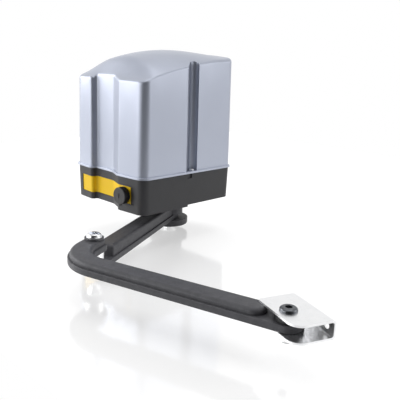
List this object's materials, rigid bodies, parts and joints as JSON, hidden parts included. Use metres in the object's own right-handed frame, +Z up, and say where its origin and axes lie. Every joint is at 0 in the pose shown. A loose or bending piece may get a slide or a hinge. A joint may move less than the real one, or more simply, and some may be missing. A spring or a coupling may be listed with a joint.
{
  "type": "articulated_arm_gate_opener",
  "caption": "Swing-gate opener: a wall-mounted gearmotor housing with a hinged two-part arm, an emergency release knob and a bracket for the gate leaf.",
  "frame": {"origin": "on the rear face of the wall plate, in the middle of its four wall holes", "axes": "+Z up, -Y the front with the yellow strip and the release knob, +X to the right seen from the front"},
  "size_m": [0.6336, 0.427, 0.3436],
  "materials": {
    "cover_paint": "satin blue-grey paint",
    "base_plastic": "matt charcoal",
    "arm_paint": "fine-textured charcoal powder coat",
    "yellow_strip": "satin yellow",
    "black_plastic": "satin black",
    "black_rubber": "matt",
    "zinc": "bright zinc",
    "steel": "turned",
    "bright_steel": "polished",
    "dark_steel": "dark zinc",
    "bearing_steel": "ground",
    "bronze": "machined",
    "grey_casting": "as cast",
    "motor_paint": "satin black",
    "magnet": "ground ferrite",
    "board_green": "solder mask",
    "terminal_green": "moulded",
    "relay_black": "moulded",
    "white_nylon": "moulded",
    "winding": "polyester tape"
  },
  "bodies": {
    "housing": {"base_housing": "base_plastic", "cover": "cover_paint", "cover_gasket": "black_rubber", "cover_screws": "zinc", "label_strip": "yellow_strip", "release_bezel": "black_plastic", "wall_plate": "zinc", "plate_screws": "zinc", "gearbox_lid": "grey_casting", "lid_screws": "zinc", "lower_bearing": "bearing_steel", "upper_bearing": "bearing_steel", "shaft_seal": "black_rubber", "idler_bearings": "bearing_steel", "gear_bridge": "grey_casting", "bridge_screws": "zinc", "worm_bearings": "bearing_steel", "motor_can": "motor_paint", "motor_screws": "zinc", "motor_end_cap": "black_plastic", "motor_magnets": "magnet", "tray_posts": "zinc", "board_tray": "zinc", "tray_screws": "zinc", "board_standoffs": "white_nylon", "control_board": "board_green", "terminal_blocks": "terminal_green", "relays": "relay_black", "transformer": "winding", "transformer_clamp": "zinc", "capacitor": "white_nylon", "capacitor_clip": "zinc", "cable_grommet": "black_rubber"},
    "lower_arm": {"straight_arm": "arm_paint", "output_shaft": "steel", "output_gear": "steel", "gear_key": "steel", "shaft_washer": "zinc", "shaft_bolt": "zinc", "elbow_bush": "bronze", "elbow_spacer": "zinc"},
    "idler": {"idler_shaft": "steel", "worm_wheel": "bronze"},
    "clutch": {"clutch_collar": "steel"},
    "rotor": {"motor_shaft": "steel", "motor_rotor": "steel", "encoder_disc": "black_plastic"},
    "upper_arm": {"curved_arm": "arm_paint", "elbow_bolt": "bright_steel", "elbow_washers": "zinc", "elbow_nut": "zinc", "pivot_bush": "bronze", "pivot_spacer": "black_plastic"},
    "bracket": {"gate_bracket": "zinc", "pivot_bolt": "dark_steel", "pivot_washer": "zinc", "pivot_nut": "zinc"},
    "knob": {"release_knob": "black_plastic", "release_spindle": "steel"},
    "fork": {"release_rack": "steel"}
  },
  "joints": [
    {"name": "arm_swing", "type": "hinge", "parent": "housing", "child": "lower_arm", "pos_m": [0, -0.077, -0.0773], "axis": [0, 0, 1], "range_deg": [-60, 55]},
    {"name": "idler_turn", "type": "hinge", "parent": "housing", "child": "idler", "pos_m": [0.036, -0.125, 0.02], "axis": [0, 0, 1], "range_deg": [-220.5, 240.5]},
    {"name": "rotor_turn", "type": "hinge", "parent": "housing", "child": "rotor", "pos_m": [0, -0.086, 0.057], "axis": [1, 0, 0], "range_deg": [-5281, 5761]},
    {"name": "elbow", "type": "hinge", "parent": "lower_arm", "child": "upper_arm", "pos_m": [0.13814, -0.35407, -0.0593], "axis": [0, 0, 1], "range_deg": [-45, 65]},
    {"name": "bracket_pivot", "type": "hinge", "parent": "upper_arm", "child": "bracket", "pos_m": [0.48429, -0.34034, -0.0408], "axis": [0, 0, 1], "range_deg": [-80, 35]},
    {"name": "release_turn", "type": "hinge", "parent": "housing", "child": "knob", "pos_m": [0.051, -0.2293, -0.001], "axis": [0.0715, -0.9974, 0], "range_deg": [-90, 0]},
    {"name": "fork_slide", "type": "slide", "parent": "housing", "child": "fork", "axis": [0, 0, 1], "range_m": [-0.00785, 0]},
    {"name": "clutch_slide", "type": "slide", "parent": "idler", "child": "clutch", "axis": [0, 0, 1], "range_m": [-0.00786, 0]}
  ],
  "couplings": [
    {"joint": "idler_turn", "follows": "arm_swing", "ratio": -4},
    {"joint": "rotor_turn", "follows": "arm_swing", "ratio": -96},
    {"joint": "release_turn", "follows": "fork_slide", "rad_per_m": 200},
    {"joint": "clutch_slide", "follows": "fork_slide", "ratio": 1}
  ]
}
